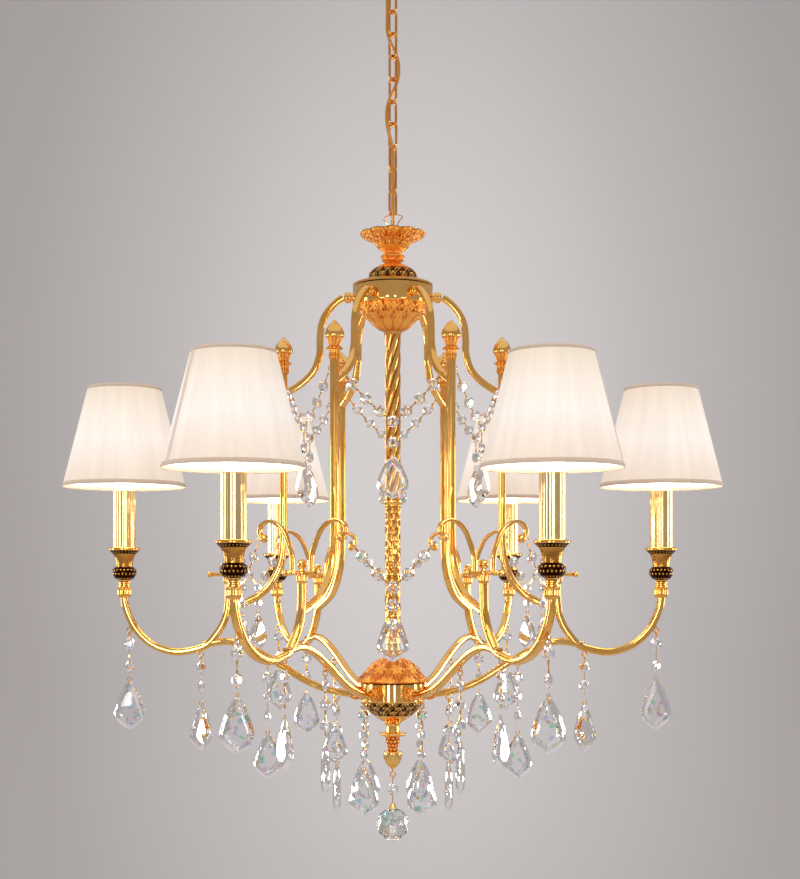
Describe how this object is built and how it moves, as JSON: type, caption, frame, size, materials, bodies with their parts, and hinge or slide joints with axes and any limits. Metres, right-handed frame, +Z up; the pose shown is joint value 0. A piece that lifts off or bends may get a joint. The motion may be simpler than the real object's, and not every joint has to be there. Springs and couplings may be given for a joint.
{
  "type": "multi arm chandelier",
  "caption": "Hanging chandelier with curved brass arms, fabric-shaded candle lamps, cut-crystal drops and swags, a chain and a ceiling canopy.",
  "frame": {"origin": "on the ceiling, at the centre of the bracket's upper face, midway between its two screw holes", "axes": "+Z up out of the bracket along the column; +X along one arm, towards its candle, and along the bracket; the viewer stands at -Y"},
  "size_m": [0.791, 0.7048, 1.0912],
  "materials": {
    "gold_brass": "polished gold plate",
    "zinc_steel": "satin zinc",
    "shade_fabric": "stretched ivory cloth",
    "gold_cord": "clear amber sheath over gold strands",
    "socket_plastic": "matte",
    "lamp_glass": "frosted",
    "crystal": "cut and polished"
  },
  "bodies": {
    "ceiling_fitting": {"ceiling_bracket": "zinc_steel", "ceiling_nipple": "zinc_steel", "ceiling_nut": "zinc_steel", "ceiling_loop": "gold_brass"},
    "canopy_cover": {"canopy": "gold_brass", "canopy_collar": "gold_brass"},
    "fixture": {"arm_cups": "gold_brass", "arm_finials": "gold_brass", "arms": "gold_brass", "base_acorn": "gold_brass", "base_bowl": "gold_brass", "base_dome": "gold_brass", "base_hub": "gold_brass", "bulbs": "lamp_glass", "candle_cups": "gold_brass", "candle_sleeves": "gold_brass", "chain_links": "gold_brass", "column_collar": "gold_brass", "column_rod": "gold_brass", "cross_bars": "gold_brass", "crown_cup": "gold_brass", "crown_dome": "gold_brass", "crown_hub": "gold_brass", "crown_knob": "gold_brass", "crown_scrolls": "gold_brass", "drop_eyelets": "gold_brass", "hanger_bail": "gold_brass", "hub_drops": "crystal", "inner_drops": "crystal", "lamp_sockets": "socket_plastic", "lower_branches": "gold_brass", "lower_swags": "crystal", "lyre_scrolls": "gold_brass", "post_finials": "gold_brass", "posts": "gold_brass", "power_cord": "gold_cord", "scroll_knobs": "gold_brass", "top_dish": "gold_brass", "twisted_column": "gold_brass", "upper_swags": "crystal", "woven_column": "gold_brass"},
    "arm_drop_1_body": {"arm_drop_1": "crystal"},
    "arm_drop_2_body": {"arm_drop_2": "crystal"},
    "arm_drop_3_body": {"arm_drop_3": "crystal"},
    "arm_drop_4_body": {"arm_drop_4": "crystal"},
    "arm_drop_5_body": {"arm_drop_5": "crystal"},
    "arm_drop_6_body": {"arm_drop_6": "crystal"},
    "ball_drop_body": {"ball_drop": "crystal"},
    "outer_drop_1_body": {"outer_drop_1": "crystal"},
    "outer_drop_2_body": {"outer_drop_2": "crystal"},
    "outer_drop_3_body": {"outer_drop_3": "crystal"},
    "outer_drop_4_body": {"outer_drop_4": "crystal"},
    "outer_drop_5_body": {"outer_drop_5": "crystal"},
    "outer_drop_6_body": {"outer_drop_6": "crystal"},
    "shade_1_body": {"shade_1": "shade_fabric"},
    "shade_2_body": {"shade_2": "shade_fabric"},
    "shade_3_body": {"shade_3": "shade_fabric"},
    "shade_4_body": {"shade_4": "shade_fabric"},
    "shade_5_body": {"shade_5": "shade_fabric"},
    "shade_6_body": {"shade_6": "shade_fabric"}
  },
  "joints": [
    {"name": "canopy_slide", "type": "slide", "parent": "ceiling_fitting", "child": "canopy_cover", "axis": [0, 0, -1], "range_m": [0, 0.035]},
    {"name": "fixture_swing", "type": "hinge", "parent": "ceiling_fitting", "child": "fixture", "pos_m": [0, 0, -0.0716], "axis": [0.7071, 0.7071, 0], "range_deg": [-5, 5]},
    {"name": "shade_1_lift", "type": "slide", "parent": "fixture", "child": "shade_1_body", "axis": [0, 0, 1], "range_m": [0, 0.08]},
    {"name": "shade_2_lift", "type": "slide", "parent": "fixture", "child": "shade_2_body", "axis": [0, 0, 1], "range_m": [0, 0.08]},
    {"name": "shade_3_lift", "type": "slide", "parent": "fixture", "child": "shade_3_body", "axis": [0, 0, 1], "range_m": [0, 0.08]},
    {"name": "shade_4_lift", "type": "slide", "parent": "fixture", "child": "shade_4_body", "axis": [0, 0, 1], "range_m": [0, 0.08]},
    {"name": "shade_5_lift", "type": "slide", "parent": "fixture", "child": "shade_5_body", "axis": [0, 0, 1], "range_m": [0, 0.08]},
    {"name": "shade_6_lift", "type": "slide", "parent": "fixture", "child": "shade_6_body", "axis": [0, 0, 1], "range_m": [0, 0.08]},
    {"name": "outer_drop_1_swing", "type": "hinge", "parent": "fixture", "child": "outer_drop_1_body", "pos_m": [0.316, 0, -0.842], "axis": [1, 0, 0], "range_deg": [-12, 12]},
    {"name": "outer_drop_2_swing", "type": "hinge", "parent": "fixture", "child": "outer_drop_2_body", "pos_m": [0.158, 0.27366, -0.842], "axis": [0.5, 0.866, 0], "range_deg": [-12, 12]},
    {"name": "outer_drop_3_swing", "type": "hinge", "parent": "fixture", "child": "outer_drop_3_body", "pos_m": [-0.158, 0.27366, -0.842], "axis": [-0.5, 0.866, 0], "range_deg": [-12, 12]},
    {"name": "outer_drop_4_swing", "type": "hinge", "parent": "fixture", "child": "outer_drop_4_body", "pos_m": [-0.316, 0, -0.842], "axis": [-1, 0, 0], "range_deg": [-12, 12]},
    {"name": "outer_drop_5_swing", "type": "hinge", "parent": "fixture", "child": "outer_drop_5_body", "pos_m": [-0.158, -0.27366, -0.842], "axis": [-0.5, -0.866, 0], "range_deg": [-12, 12]},
    {"name": "outer_drop_6_swing", "type": "hinge", "parent": "fixture", "child": "outer_drop_6_body", "pos_m": [0.158, -0.27366, -0.842], "axis": [0.5, -0.866, 0], "range_deg": [-12, 12]},
    {"name": "arm_drop_1_swing", "type": "hinge", "parent": "fixture", "child": "arm_drop_1_body", "pos_m": [0.23, 0, -0.8705], "axis": [1, 0, 0], "range_deg": [-12, 12]},
    {"name": "arm_drop_2_swing", "type": "hinge", "parent": "fixture", "child": "arm_drop_2_body", "pos_m": [0.115, 0.19919, -0.8705], "axis": [0.5, 0.866, 0], "range_deg": [-12, 12]},
    {"name": "arm_drop_3_swing", "type": "hinge", "parent": "fixture", "child": "arm_drop_3_body", "pos_m": [-0.115, 0.19919, -0.8705], "axis": [-0.5, 0.866, 0], "range_deg": [-12, 12]},
    {"name": "arm_drop_4_swing", "type": "hinge", "parent": "fixture", "child": "arm_drop_4_body", "pos_m": [-0.23, 0, -0.8705], "axis": [-1, 0, 0], "range_deg": [-12, 12]},
    {"name": "arm_drop_5_swing", "type": "hinge", "parent": "fixture", "child": "arm_drop_5_body", "pos_m": [-0.115, -0.19919, -0.8705], "axis": [-0.5, -0.866, 0], "range_deg": [-12, 12]},
    {"name": "arm_drop_6_swing", "type": "hinge", "parent": "fixture", "child": "arm_drop_6_body", "pos_m": [0.115, -0.19919, -0.8705], "axis": [0.5, -0.866, 0], "range_deg": [-12, 12]},
    {"name": "ball_drop_swing", "type": "hinge", "parent": "fixture", "child": "ball_drop_body", "pos_m": [0, 0, -1.015], "axis": [1, 0, 0], "range_deg": [-12, 12]}
  ]
}
